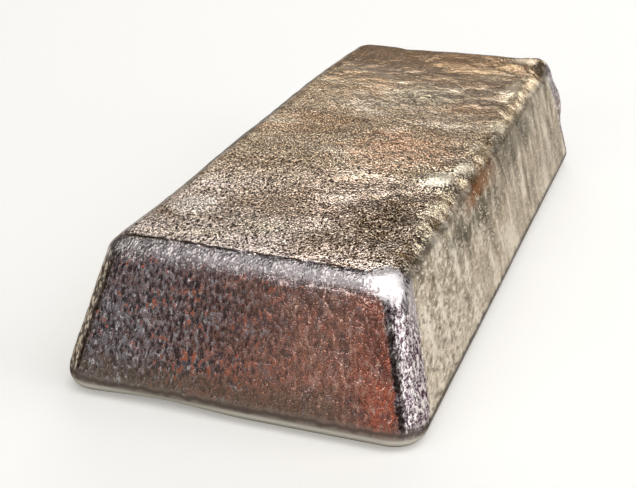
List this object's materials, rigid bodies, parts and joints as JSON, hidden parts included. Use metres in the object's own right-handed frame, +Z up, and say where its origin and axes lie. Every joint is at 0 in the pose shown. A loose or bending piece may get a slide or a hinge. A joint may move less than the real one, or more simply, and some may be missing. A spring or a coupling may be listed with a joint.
{
  "type": "pewter ingot",
  "caption": "Cast pewter bar of metal stock: a long tapered block with sloping walls, rounded edges and a smooth bead round the poured face it rests on.",
  "frame": {"origin": "middle of the poured face, which the ingot rests on", "axes": "+Z up out of the mould, +Y along the ingot's length, +X across its width"},
  "size_m": [0.0688, 0.1798, 0.029],
  "materials": {
    "pewter": "satin"
  },
  "bodies": {
    "root": {"ingot": "pewter"}
  },
  "joints": []
}
